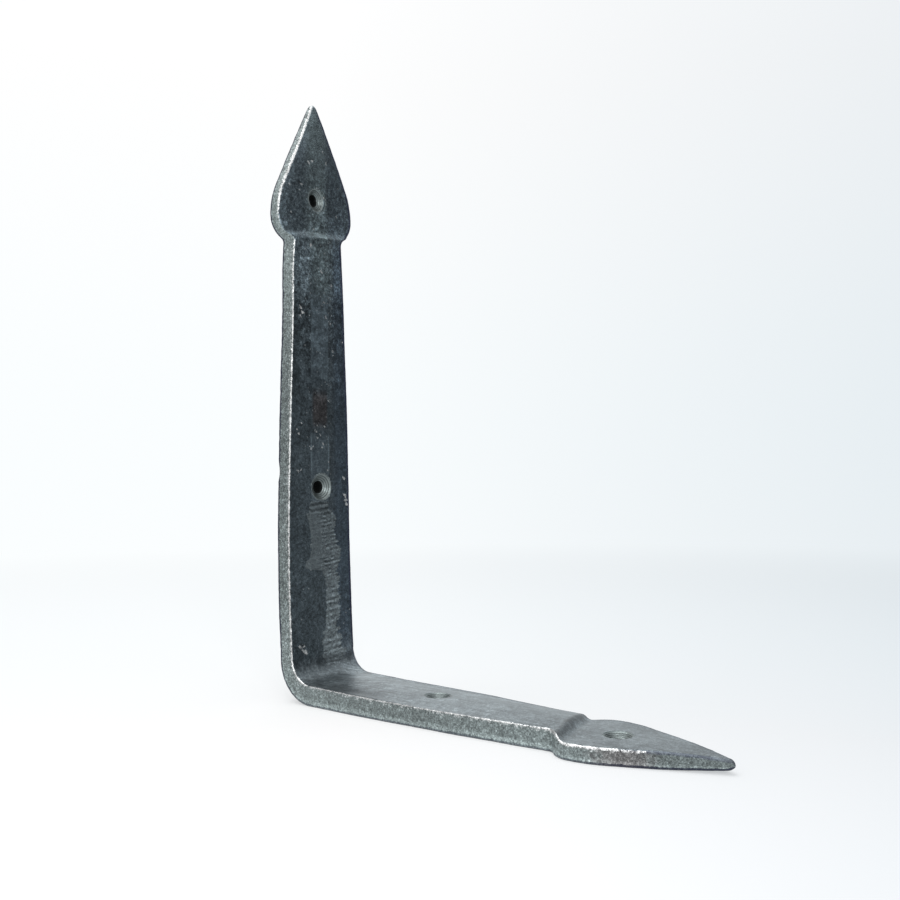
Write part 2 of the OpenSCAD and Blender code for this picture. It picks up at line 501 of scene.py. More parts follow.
# bright nicks and pits on the inner face: height on the wall leg, across, radius, depth
forgeMarks = (
    (152.6, -4.5, 0.9, 0.30), (144.5, 0.0, 0.55, 0.25), (140.1, 5.1, 0.65, 0.25),
    (131.1, -9.1, 0.6, 0.22), (129.4, -8.2, 0.75, 0.25), (128.1, -8.9, 0.5, 0.2),
    (134.0, 1.2, 0.45, 0.2), (129.1, 1.9, 0.6, 0.22), (126.7, 4.3, 0.7, 0.22),
    (117.4, 5.6, 0.7, 0.28), (115.7, 6.0, 0.55, 0.26), (121.2, 10.6, 0.6, 0.2),
    (73.5, 11.0, 0.7, 0.25), (67.2, 11.7, 0.85, 0.3), (65.6, 12.1, 0.9, 0.3),
    (64.2, 12.4, 0.8, 0.3),
    (83.4, -4.7, 0.7, 0.15), (84.1, -3.8, 0.55, 0.12), (85.1, 1.0, 0.7, 0.15),
    (83.8, 0.2, 0.5, 0.1), (86.8, -1.4, 0.5, 0.12), (89.6, -2.7, 0.6, 0.14),
    (88.2, -0.6, 0.45, 0.1), (91.3, -1.9, 0.4, 0.1), (100.3, 3.0, 0.4, 0.1),
    (76.2, 2.8, 0.5, 0.12), (78.9, 3.2, 0.4, 0.1), (90.0, -10.7, 0.4, 0.1),
    (75.8, -10.0, 0.5, 0.12), (88.5, -9.8, 0.45, 0.1), (17.6, -10.2, 0.7, 0.3),
    (17.8, -8.9, 0.6, 0.3), (15.8, -8.3, 1.0, 0.35), (16.4, -9.3, 0.5, 0.3),
    (182.6, -1.9, 0.75, 0.12), (183.2, 4.6, 0.5, 0.12), (173.4, -6.6, 0.6, 0.15),
    (76.2, -8.9, 0.6, 0.15), (91.6, -8.4, 0.35, 0.15), (91.0, 1.6, 0.4, 0.15),
    (181.9, -3.6, 0.5, 0.12), (184.0, 4.6, 0.45, 0.12), (187.1, 3.2, 0.4, 0.1),
    (171.5, -7.5, 0.45, 0.12), (172.6, -11.9, 0.5, 0.12), (175.8, 10.5, 0.4, 0.1),
    (163.0, -11.0, 0.45, 0.1), (165.6, 9.7, 0.4, 0.1), (159.1, -1.4, 0.4, 0.1),
)

# where a grinder ran down the wall leg: height, near edge and far edge of its track
grindTrack = (
    (4.0, -0.4, 10.0), (9.0, -0.3, 10.0), (14.0, -1.1, 9.9), (18.0, -0.7, 8.2), (21.0, -0.2, 7.0),
    (24.5, 0.6, 7.4), (28.5, 1.3, 8.2), (33.0, 1.6, 7.6), (37.5, 1.8, 7.0), (39.5, 1.2, 7.4),
    (40.6, 0.1, 7.6), (42.0, -0.4, 7.7), (42.7, -5.6, 7.9), (44.6, -7.1, 8.2), (45.6, -6.6, 8.5),
    (46.4, -5.1, 8.7), (50.5, -5.0, 7.8), (54.0, -5.2, 6.6), (59.0, -5.8, 6.9), (62.0, -6.2, 4.2),
    (65.0, -5.4, 3.4), (67.0, -1.0, 0.0),
)
grindLook = {
    "strokePitch": 1.15,    # spacing of the strokes that fray the track's edges
    "finePitch": 1.35,      # spacing of the ridges: wide patch, narrow track, first touch
    "coarsePitch": 2.1,
    "startPitch": 1.7,
    "slant": 0.085,
    "sink": 0.06,
    "depth": 0.07,
    "foot": (4.5, 9.0),     # heights where the track fades out, and where it fades in
    "top": (66.5, 65.0),
    "patch": (37.0, 42.0),  # heights where the wide patch and the first touch begin
    "start": (60.5, 62.5),
    "smoothHalf": (-1.5, 1.5),  # the near half of the patch was left smooth
}

# islands of lifted scale on the upper bar, by height and by distance from the middle
scabLook = {
    "foot": (96.0, 112.0), "top": (154.0, 150.0), "sides": (11.0, 6.0), "shore": (0.47, 0.55)}

# size, detail and roughness of the reliefs' noises, per millimetre
forgeNoise = {
    "hammer": (0.075, 1.0, 0.4),
    "scale": (0.42, 3.0, 0.55),
    "grain": (1.1, 2.0, 0.6),
    "wear": (0.8, 3.0, 0.6),
}
forgePits = {"spacing": 0.30, "chance": 0.62, "shore": (0.26, 0.08)}
backNick = {"across": -13.4, "height": 75.6, "radius": 1.6, "depth": 0.55, "stretch": 0.4}

# how rugged the inner face is, by height on the wall leg; below zero out along the shelf leg
ruggedLine = (
    (-150.0, 0.25), (0.0, 0.3), (15.0, 0.6), (60.0, 0.55), (110.0, 0.6), (138.0, 1.0),
    (160.0, 1.0), (185.0, 0.6), (206.0, 0.4),
)


def grindMask(g, height, across, seed):
    # 1 on the ground track, with an edge that frays stroke by stroke
    look = grindLook
    stroke = g.math("FLOOR", (height - across * look["slant"]) / look["strokePitch"])
    chance = g.node("ShaderNodeTexWhiteNoise", {"noise_dimensions": "1D"}, {
        "W": stroke + 0.5}, "Value") - 0.5
    rough = g.noise(g.joined(height * 0.9, across * 0.2, 0.0), 1.0, 3.0, 0.7, seed) - 0.5
    fray = rough * 5.0 + chance * 2.2
    near = g.curve(height, [(h, edge) for h, edge, _ in grindTrack], -10.0, 12.0)
    far = g.curve(height, [(h, edge) for h, _, edge in grindTrack], -10.0, 12.0)
    fromNear = g.soft(across - near + fray * 0.12 + chance * 0.9, -0.15, 0.25)
    fromFar = g.soft(far - across + fray, -0.25, 0.4)
    return fromNear * fromFar * g.soft(height, *look["foot"]) * g.soft(height, *look["top"])


def grindRipple(g, height, across, seed):
    # strokes and chatter left by the wheel, -1 to 1, finer on the wide patch above
    look = grindLook
    run = height - across * look["slant"]

    def ridges(pitch, shake):
        return g.math("SINE", run * (2 * math.pi / look[pitch]) + shake)

    shake = g.noise(g.joined(across * 0.3, 0.0, height * 0.5), 1.0, 2.0, 0.5, seed) * 7.0
    wobble = g.noise(
        g.joined(across * 0.45, 0.0, height * 0.25), 1.0, 2.0, 0.6, seed + 4.0) * 9.0
    patchy = g.soft(
        g.noise(g.joined(across * 0.5, height * 0.3, 3.0), 1.0, 2.0, 0.5, seed), 0.42, 0.62)
    strokes = g.noise(g.joined(run * 1.1, across * 0.22, 5.0), 1.0, 4.0, 0.65, seed) - 0.5
    farHalf = g.soft(across, *look["smoothHalf"])
    chatter = g.mix(g.soft(height, *look["patch"]),
                    ridges("coarsePitch", shake), ridges("finePitch", shake) * farHalf) * patchy
    chatter = g.mix(g.soft(height, *look["start"]), chatter, ridges("startPitch", wobble) * 0.7)
    return g.least(g.most(chatter * 0.95 + strokes * 2.8 * g.mix(farHalf, 0.6, 1.0), -1.3), 1.2)


def markShapes(g, height, across):
    # for every mark, 1 in its middle and 0 outside it
    ragged = (g.noise(g.joined(height, across, 0.0), 0.8, 2.0, 0.6, 21.0) - 0.5) * 3.0
    place = g.joined(height + ragged, across - ragged, 0.0)
    return [g.soft(g.distance(place, (h, a, 0.0)), radius, radius * 0.35)
            for h, a, radius, depth in forgeMarks]


def scabShape(g, place, height, across):
    # 0 to 1 with a soft shore
    look = scabLook
    island = g.noise(place, 0.30, 3.0, 0.55, 31.0)
    where = (g.soft(height, *look["foot"]) * g.soft(height, *look["top"])
             * g.closeTo(across, 0.0, *look["sides"]))
    return g.soft(island, *look["shore"]) * where


def forged(g, d, body):
    # hammer hollows, scale, pits, marks and the ground track, pushed along the normal
    place = g.node("GeometryNodeInputPosition")
    inner, corner = named(g, "inner"), named(g, "corner")
    height, across = d["wallLeg"] - named(g, "along"), named(g, "across")
    seed = d["seed"]
    hammer = g.noise(g.scaled(place, (1.0, 1.4, 1.0)), *forgeNoise["hammer"], seed) - 0.5
    scale = g.noise(place, *forgeNoise["scale"], seed + 5.0) - 0.5
    grain = g.noise(place, *forgeNoise["grain"], seed + 9.0) - 0.5
    cells = g.node("ShaderNodeTexVoronoi", {"voronoi_dimensions": "4D"}, {
        "Vector": place, "W": seed, "Scale": forgePits["spacing"], "Randomness": 1.0})
    chosen = g.over(g.parts(cells.also("Color")), forgePits["chance"])
    pits = g.soft(cells, *forgePits["shore"]) * chosen
    ground = grindMask(g, height, across, seed) * inner
    rugged = g.mix(inner, 1.0, g.curve(height, ruggedLine, 0.0, 1.0)) * (1.0 - ground * 0.8)
    amount = (hammer * d["hammerDepth"] + scale * d["scaleDepth"] * rugged
              + grain * d["grainDepth"] * g.mix(inner, 1.0, 0.35)
              - pits * d["pitDepth"] * rugged)
    marks = sum(shape * mark[3] for shape, mark in zip(markShapes(g, height, across), forgeMarks))
    amount = amount - marks * inner * 0.8
    amount = amount + scabShape(g, place, height, across) * inner * d["scabDepth"]
    ripple = grindRipple(g, height, across, seed)
    amount = amount - ground * (grindLook["sink"] + grindLook["depth"] * ripple)
    worn = g.soft(corner, 0.3, 0.9) * inner * g.noise(place, *forgeNoise["wear"], seed + 12.0)
    amount = amount - worn * d["wearDepth"]
    stretch = backNick["stretch"]
    nickPlace = (-wallFace, backNick["across"], backNick["height"] * stretch)
    nick = g.soft(g.distance(g.scaled(place, (1.0, 1.0, stretch)), nickPlace),
                  backNick["radius"], 0.3)
    amount = amount - nick * backNick["depth"]
    push = g.times(g.node("GeometryNodeInputNormal"), amount)
    return g.node("GeometryNodeSetPosition", {}, {"Geometry": body, "Offset": push})


def keptInside(g, body):
    # no point of the forging goes outside the CAD model's box
    low = tuple(edge / mm + boxMargin for edge in cadLow)
    high = tuple(edge / mm - boxMargin for edge in cadHigh)
    spot = g.vector("MAXIMUM", g.node("GeometryNodeInputPosition"), low)
    spot = g.vector("MINIMUM", spot, high)
    return g.node("GeometryNodeSetPosition", {}, {"Geometry": body, "Position": spot})


def holeCutter(g, thickness, sink):
    # one countersunk hole standing on the outer face, its profile run up a cylinder
    size, rows = screwSizes, screwMesh
    bore, back, wide = size["bore"] / 2, size["backBore"] / 2, sink / 2
    deep = (wide - bore) / math.tan(math.radians(size["angle"] / 2))
    flare, inlet, reach = size["flare"], size["inlet"], size["reach"]
    tube = g.node("GeometryNodeMeshCylinder", {"fill_type": "TRIANGLE_FAN"}, {
        "Vertices": rows["around"], "Side Segments": rows["rim"], "Radius": 1.0,
        "Depth": 1.0}, "Mesh")
    at = g.parts(g.node("GeometryNodeInputPosition"))
    row = (at.also("Z") + 0.5) * float(rows["rim"])
    entry = g.ramp(row, 0.0, rows["entry"])
    low = g.ramp(row, rows["entry"], rows["bore"])
    cone = g.ramp(row, rows["bore"], rows["cone"])
    lip = g.ramp(row, rows["cone"], rows["lip"])
    over = g.ramp(row, rows["lip"], rows["rim"])
    height = (-reach + entry * (reach + inlet) + low * (thickness - deep - inlet)
              + cone * (deep - flare) + lip * (flare * 1.3) + over * 1.2)
    ripple = g.math("SINE", cone * (math.pi * 2 * size["rings"])) * (
        cone * (1.0 - cone) * 4.0 * size["ringDepth"])
    radius = (back + low * (bore - back) + cone * (wide - bore - flare)
              + (lip ** 2.0) * (flare * 2.4) + ripple)
    spoke = g.parts(g.times(g.joined(at, at.also("Y"), 0.0), radius))
    return g.node("GeometryNodeSetPosition", {}, {
        "Geometry": tube, "Position": g.joined(spoke, spoke.also("Y"), height)})


def drilled(g, d, body):
    cutters = []
    for name, onWall, thickness in (
            ("wallLeaf", True, d["leafThickness"]), ("wallBar", True, d["barThickness"]),
            ("shelfBar", False, d["barThickness"]), ("shelfLeaf", False, d["leafThickness"])):
        out, sink = screwSizes[name]
        tilt = math.radians(screwSizes["wallLeafTilt"]) if name == "wallLeaf" else 0.0
        shift = -strapSizes["leafThickness"] * math.tan(tilt)
        spot = (-wallFace, shift, out) if onWall else (out - wallFace, 0.0, 0.0)
        cutters.append(g.node("GeometryNodeTransform", {}, {
            "Geometry": holeCutter(g, thickness, sink), "Translation": spot,
            "Rotation": (0.0, math.pi / 2 if onWall else 0.0, tilt)}))
    joined = g.node("GeometryNodeJoinGeometry", {}, {0: cutters})
    return g.node("GeometryNodeMeshBoolean", {"operation": "DIFFERENCE", "solver": "EXACT"}, {
        "Mesh 1": body, "Mesh 2": joined})


def holeShare(g, place):
    # 0 where the bore meets its countersink, 1 at the rim, below 0 in the bore, large elsewhere
    x = g.parts(place)
    y, z = x.also("Y"), x.also("Z")
    bore = screwSizes["bore"] / 2
    slope = math.tan(math.radians(screwSizes["wallLeafTilt"]))
    lean = (x + (wallFace - strapSizes["leafThickness"])) * slope
    shares = []
    for name in ("wallLeaf", "wallBar", "shelfBar", "shelfLeaf"):
        out, sink = screwSizes[name]
        sideways = y - lean if name == "wallLeaf" else y
        if name.startswith("wall"):
            reach = g.distance(g.joined(0.0, sideways, z), (0.0, 0.0, out))
        else:
            reach = g.distance(g.joined(x, sideways, 0.0), (out - wallFace, 0.0, 0.0))
        shares.append((reach - bore) / (sink / 2 - bore))
    share = shares[0]
    for other in shares[1:]:
        share = g.least(share, other)
    offBack = g.over(g.least(x + wallFace, z), screwSizes["backMargin"])
    return g.mix(offBack, screwSizes["farAway"], share)


def builtPiece(name, tree, sizes):
    # run a tree on an empty mesh, keep its result as a plain mesh
    holder = bpy.data.objects.new(name, bpy.data.meshes.new(name))
    scene.collection.objects.link(holder)
    modifier = holder.modifiers.new("shape", "NODES")
    modifier.node_group = tree
    for item in tree.interface.items_tree:
        if item.item_type == "SOCKET" and item.in_out == "INPUT" and item.name in sizes:
            modifier[item.identifier] = float(sizes[item.name])
    depsgraph = bpy.context.evaluated_depsgraph_get()
    mesh = bpy.data.meshes.new_from_object(holder.evaluated_get(depsgraph))
    holder.modifiers.remove(modifier)
    holder.data = mesh
    return holder


ironLook = {
    "oxideTint": (0.79, 1.0, 1.13),
    "farTint": (0.74, 1.0, 1.24),
    "middleTint": (0.95, 1.2, 1.26),
    "sandTint": (0.86, 1.0, 1.0),
    "shelfTint": (0.86, 0.99, 1.05),
    "groundTint": (0.85, 1.0, 1.06),
    "rustTint": (1.05, 0.95, 0.95),
    "bareTint": (0.98, 1.0, 1.0),
    # colour of the painted shade on the edges, the foot and the tip
    "paintedShadeColour": (0.012, 0.015, 0.043, 1.0),
    "shelfTone": 0.262,
    "leafTone": 0.25,
    "sandTone": 0.205,
    "bandTone": 0.062,
    "tipPale": 0.010,       # how much paler than the scale each part is
    "farPale": 0.016,
    "spinePale": 0.05,
    "shorePale": 0.04,
    "scabPale": 0.02,
    "nearRimPale": 0.075,
    "bandRimPale": 0.09,
    "groundTone": 0.16,
    "bareTone": 0.62,
    "barRubAndGlintTone": 0.38,
    "edgeRubAndGlintTone": 0.5,
    "cutTone": 0.16,
    "backTone": 0.095,
    "soleTone": 0.14,
    "bumpDepth": 0.16,
    "coneRings": 4.0,
}
# size, detail, roughness and seed of the material's noises, per millimetre
ironNoise = {
    "blotch": (0.16, 3.0, 0.6, 2.0),
    "patches": (0.5, 4.0, 0.65, 8.0),
    "grain": (1.15, 3.0, 0.65, 4.0),
    "grit": (2.4, 2.0, 0.6, 6.0),
}
# from where to where a look comes in, by height on the wall leg; below zero out along the shelf leg
ironZones = {
    "aroundBend": (17.0, -7.0),
    "leafTip": (176.0, 190.0),
    "leafSpine": (154.0, 159.0),
    "leafFarSide": (158.0, 164.0),
    "leafNearSide": (154.0, 160.0),
    "leafEdge": (158.0, 166.0),
    "bandRimFoot": (74.0, 77.0),
    "bandRimTop": (90.0, 86.0),
    "dimFoot": (92.0, 108.0),
    "dimTop": (140.0, 132.0),
    "brown": (97.0, 8.0, 3.0),      # middle, reach and full reach
    "groundFoot": (42.0, 34.0),
    "groundTop": (60.0, 63.0),
    "farTint": (150.0, 158.0),
    "middleTint": (132.0, 140.0),
    "sweptOut": (-45.0, -12.0),
    "sweptIn": (14.0, 4.0),
    "bendShade": (10.0, -30.0),
    "nearShadeOut": (-52.0, -22.0),
    "nearShadeIn": (2.0, -18.0),
    "farGlow": (-30.0, -5.0),
    "barFade": (-92.0, -50.0),
    "shelfLeaf": (-90.5, -94.5),
    "leafFade": (-98.0, -135.0),
    "creaseShade": -94.4,
    "rustTinge": (-116.0, 11.0, 1.0),
    "leafFoot": (-95.0, -122.0),
    "tipShade": (-136.5, -139.5),
}
# each by height, as above
mottleLine = (
    (-150.0, 0.25), (0.0, 0.35), (15.0, 0.9), (60.0, 0.8), (110.0, 0.9), (138.0, 1.3),
    (160.0, 1.2), (180.0, 0.8), (190.0, 0.45), (206.0, 0.35),
)
bandRub = (
    (60.0, 0.0), (66.0, 0.75), (76.0, 0.85), (86.0, 0.75), (90.0, 0.2), (98.0, 0.12),
    (104.0, 0.3), (110.0, 1.0), (118.0, 1.6), (132.0, 1.5), (137.0, 0.8), (143.0, 0.4),
    (151.0, 0.3), (156.0, 0.0), (206.0, 0.0),
)
toneLine = (
    (-150.0, 0.078), (60.0, 0.078), (100.0, 0.073), (128.0, 0.076), (136.0, 0.11),
    (141.0, 0.135), (152.0, 0.138), (158.0, 0.136), (164.0, 0.125), (170.0, 0.108),
    (206.0, 0.106),
)
# how bright the near inner edge is painted, worn metal and painted highlight together
wearAndGlintLine = (
    (-142.0, 0.0), (-122.0, 0.0), (-120.0, 0.6), (-118.0, 0.45), (-115.0, 0.75),
    (-110.0, 0.92), (-94.0, 0.95), (-87.0, 0.82), (-40.0, 0.78), (-8.0, 0.75), (5.0, 0.78),
    (30.0, 0.73), (110.0, 0.73), (145.0, 0.7), (152.5, 0.62), (154.5, 0.08), (158.0, 0.12),
    (161.0, 0.45), (165.0, 0.8), (174.0, 1.0), (206.0, 0.95),
)
sideLine = (
    (-142.0, 0.82), (-122.0, 0.82), (-112.0, 0.95), (-104.0, 1.2), (-93.0, 1.25),
    (-50.0, 1.05), (0.0, 1.2), (20.0, 1.2), (40.0, 0.9), (115.0, 0.9), (150.0, 1.3),
    (206.0, 1.12),
)


class IronPoint:
    # what every layer of the iron knows about the point that it colours
    def __init__(self, g):
        def carried(name):
            return g.node("ShaderNodeAttribute", {"attribute_name": name}, {}, "Fac")

        self.place = g.scaled(g.node("ShaderNodeTexCoord", out="Object"), (1 / mm, 1 / mm, 1 / mm))
        self.across = carried("across")
        self.height = strapSizes["wallLeg"] - carried("along")
        self.corner, self.rim, self.rise = carried("corner"), carried("rim"), carried("rise")
        inner = carried("inner")
        self.front = g.soft(inner, 0.02, 0.15)
        self.innerFace = g.soft(inner, 0.55, 0.95)
        self.backFace = g.soft(carried("hidden"), 0.6, 0.98)
        self.nearHalf = g.soft(self.across, 2.0, -2.0)
        self.onShelf = g.soft(
            self.height - g.most(self.across, 0.0) * 0.5, *ironZones["aroundBend"])
        for name, noise in ironNoise.items():
            setattr(self, name, g.noise(self.place, *noise) - 0.5)

        # the rubbed band down the middle and the ground track
        self.offBand = g.math("ABSOLUTE", self.across - strapSizes["bandShift"])
        self.bandHalf = strapSizes["bandWidth"] / 2
        self.band = g.soft(
            self.offBand + self.patches * 1.6, self.bandHalf + 0.25, self.bandHalf - 0.35)
        self.band = self.band * g.curve(self.height, bandRub, 0.0, 2.0)
        self.ground = grindMask(g, self.height, self.across, strapSizes["seed"])
        self.mottle = g.curve(self.height, mottleLine, 0.0, 1.5)

    def uneven(self, **strengths):
        return sum(getattr(self, name) * strength for name, strength in strengths.items())


def darkFace(g, at):
    # wall leg: dark scale, the band, the ground track, a leaf paler along its middle
    look, zones = ironLook, ironZones
    height, across, patches = at.height, at.across, at.patches
    far = g.soft(across, 4.0, 8.0)
    tipPale = g.soft(height + at.blotch * 12.0, *zones["leafTip"])
    farPale = far * g.soft(height, *zones["leafFarSide"])
    spine = g.closeTo(across, 0.0, 7.5, 2.5, patches * 6.0) * g.soft(height, *zones["leafSpine"])
    nearRim = g.soft(at.rim, 4.5, 1.5) * at.nearHalf * g.soft(height, *zones["leafNearSide"])
    bandRim = (g.closeTo(at.offBand, at.bandHalf, 0.5, 0.1, at.grain * 1.2)
               * g.soft(height, *zones["bandRimFoot"]) * g.soft(height, *zones["bandRimTop"]))
    scab = scabShape(g, at.place, height, across)
    shore = scab * (1.0 - scab) * 4.0
    paler = sum(share * look[part] for part, share in (
        ("tipPale", tipPale), ("farPale", farPale), ("spinePale", spine), ("shorePale", shore),
        ("scabPale", scab), ("nearRimPale", nearRim), ("bandRimPale", bandRim)))
    calm = 1.0 - g.least(at.band, 1.0) * 0.5
    vary = g.exp(at.mottle * calm * at.uneven(blotch=1.2, patches=1.8, grain=3.0, grit=2.6))
    tone = (g.curve(height, toneLine, 0.0, 0.2) + at.band * look["bandTone"] + paler) * vary
    brown = g.closeTo(height, *zones["brown"]) * g.soft(at.offBand, 4.0, 2.5)
    dim = (g.soft(across, -4.0, -6.0) * g.soft(height, *zones["dimFoot"])
           * g.soft(height, *zones["dimTop"]))
    tone = tone * (1.0 - brown * 0.3) * (1.0 - dim * 0.2)
    farShare = far * (1.0 - tipPale) * g.soft(height, *zones["farTint"], 1.0, 0.15)
    colour = g.blend(farShare, g.times(look["oxideTint"], tone), g.times(look["farTint"], tone))
    middle = g.closeTo(across, 0.0, 7.0, 2.0, patches * 4.0) * g.soft(height, *zones["middleTint"])
    colour = g.blend(middle * 0.8, colour, g.times(look["middleTint"], tone))
    colour = g.blend(brown * 0.8, colour, g.times(look["rustTint"], tone))

    ripple = grindRipple(g, height, across, strapSizes["seed"])
    groundTone = look["groundTone"] * g.soft(height, *zones["groundFoot"], 1.0, 1.22)
    groundTone = groundTone * g.soft(height, *zones["groundTop"], 1.0, 0.82)
    groundTone = groundTone * g.exp(
        ripple * 0.78 + at.uneven(grit=2.2, grain=1.4) * g.soft(across, -3.0, 2.0, 0.45, 1.0)
        + patches - 0.02)
    return g.blend(at.ground, colour, g.times(look["groundTint"], groundTone))


def paleFace(g, at):
    # shelf leg: brushed along, with curved strokes where it leaves the bend; painted paler than the
    # wall leg, partly for the light it catches, with painted shade by the bend, on its near side
    # and in the fold where the bar steps down to the leaf, and a painted highlight on its far side
    look, zones = ironLook, ironZones
    height, across = at.height, at.across
    streak = g.noise(g.scaled(at.place, (0.05, 0.9, 0.4)), 1.0, 3.0, 0.6, 3.0) - 0.5
    sweep = g.noise(
        g.joined(height * 0.9 + across * 0.55, across * 0.10, 7.0), 1.0, 3.0, 0.6, 5.0) - 0.5
    swept = g.soft(height, *zones["sweptOut"]) * g.soft(height, *zones["sweptIn"])
    # painted paler than the wall leg, partly for the light the top catches
    tone = g.mix(g.soft(height, *zones["shelfLeaf"]), look["shelfTone"], look["leafTone"])
    tone = tone * g.exp(streak + at.uneven(patches=1.3, blotch=1.0, grain=1.5, grit=1.4)
                        + sweep * swept * 2.4)
    tone = tone * g.soft(height, *zones["barFade"], 0.87, 1.0)
    tone = tone * g.soft(height, *zones["bendShade"], 0.85, 1.0)
    tone = tone * g.soft(height, *zones["leafFade"], 1.03, 0.9)
    nearShade = (g.soft(across, -2.0, -12.0) * g.soft(height, *zones["nearShadeOut"])
                 * g.soft(height, *zones["nearShadeIn"], 0.12, 0.34))
    farGlow = g.soft(across, -1.0, 8.0) * g.soft(height, *zones["farGlow"])
    # painted shade in the fold where the bar steps down to the leaf
    creaseShade = g.closeTo(height + across * strapSizes["shelfStepSlant"], zones["creaseShade"],
                       1.7, 0.3, at.patches * 1.6)
    tone = tone * (1.0 - nearShade) * (1.0 + farGlow * 0.25) * (1.0 - creaseShade * 0.45)
    return g.times(look["shelfTint"], tone)


def sandySide(g, at):
    # sides: sandy grey grain, with painted light from the floor along the foot of the shelf leg
    look = ironLook
    tone = look["sandTone"] * g.curve(at.height, sideLine, 0.8, 1.5)
    tone = tone * g.exp(at.uneven(grit=4.2, grain=2.6) * g.mix(at.onShelf, 1.0, 0.72)
                        + at.patches * 0.8)
    # painted light from the floor along the foot of the shelf leg
    tone = tone * (1.0 + at.onShelf * g.soft(at.rise, 0.4, 0.1) * 0.6)
    tinge = g.closeTo(at.height, *ironZones["rustTinge"], at.patches * 14.0)
    return g.blend(tinge * 0.6, g.times(look["sandTint"], tone), g.times(look["rustTint"], tone))


def wornAndHighlitEdges(g, at):
    # shares of bare worn metal along the near inner edge, kept to the near side and brightened as a
    # painted highlight, and of painted shade on the shelf's bevel
    level = g.curve(at.height, wearAndGlintLine, 0.0, 1.0)
    rubbed = g.most(at.onShelf, g.soft(at.height, *ironZones["leafEdge"]))
    edge = at.front * at.nearHalf
    worn = g.soft(at.corner * 0.75 + level * 0.75 + at.uneven(grain=1.5, grit=0.8, patches=0.8)
                  - rubbed * 0.1, 0.78, 1.15)
    worn = worn * edge * g.soft(level, 0.0, 0.3) * g.soft(at.corner + level * 0.3, 0.45, 0.85)
    fleck = g.soft(at.rise + at.uneven(grain=0.9, grit=0.5), 0.95, 1.1)
    worn = g.most(worn, fleck * (1.0 - at.front) * at.nearHalf * level * 0.75)
    bevelShade = g.soft(at.corner, 0.1, 0.6) * edge * at.onShelf * (1.0 - level) * 0.5
    shine = g.mix(rubbed, ironLook["barRubAndGlintTone"],
                  ironLook["edgeRubAndGlintTone"] * (1.0 - at.onShelf * 0.14))
    return worn, bevelShade, shine * g.exp(at.uneven(grain=2.4, grit=2.4))


def paintedEdgeShade(g, at):
    # share of painted shade in the outer edges, along the far rim, round the foot as a painted
    # contact shadow, and on the tip's end
    outer = g.soft(at.corner + at.grain * 0.5 - at.onShelf * 0.25, 0.3, 0.8) * (
        1.0 - at.front * at.nearHalf)
    farRim = g.soft(at.rim + at.grain, 1.0, 0.4) * at.innerFace * (1.0 - at.nearHalf) * g.mix(
        at.onShelf, 1.0, 0.6)
    footRim = g.soft(at.rise + at.grain * 0.15, g.mix(at.onShelf, 0.14, 0.07), 0.02) * (
        1.0 - at.front) * (1.0 - at.backFace)
    leafFoot = g.soft(at.height, *ironZones["leafFoot"], 0.6, 1.0)
    footRim = footRim * g.mix(at.onShelf, 1.0, leafFoot)
    tip = g.soft(at.height, *ironZones["tipShade"]) * g.soft(at.across, -0.5, 0.8) * 0.9
    return g.most(g.most(outer, tip), g.most(farRim, footRim))


def brightMarks(g, at):
    # share of bare metal in the forge marks and in small dots among the scale
    near = g.least(sum(markShapes(g, at.height, at.across)), 1.0)
    marked = near * at.innerFace * g.soft(at.grit + at.grain, -0.22, 0.02)
    cells = g.node("ShaderNodeTexVoronoi", {"voronoi_dimensions": "3D"}, {
        "Vector": at.place, "Scale": 0.55})
    chosen = g.over(g.parts(cells.also("Color")), 0.76)
    dots = g.soft(cells, 0.18, 0.08) * chosen * at.innerFace * (1.0 - at.onShelf) * g.soft(
        at.mottle, 0.55, 1.1)
    return g.least(marked + dots * 0.45, 1.0)


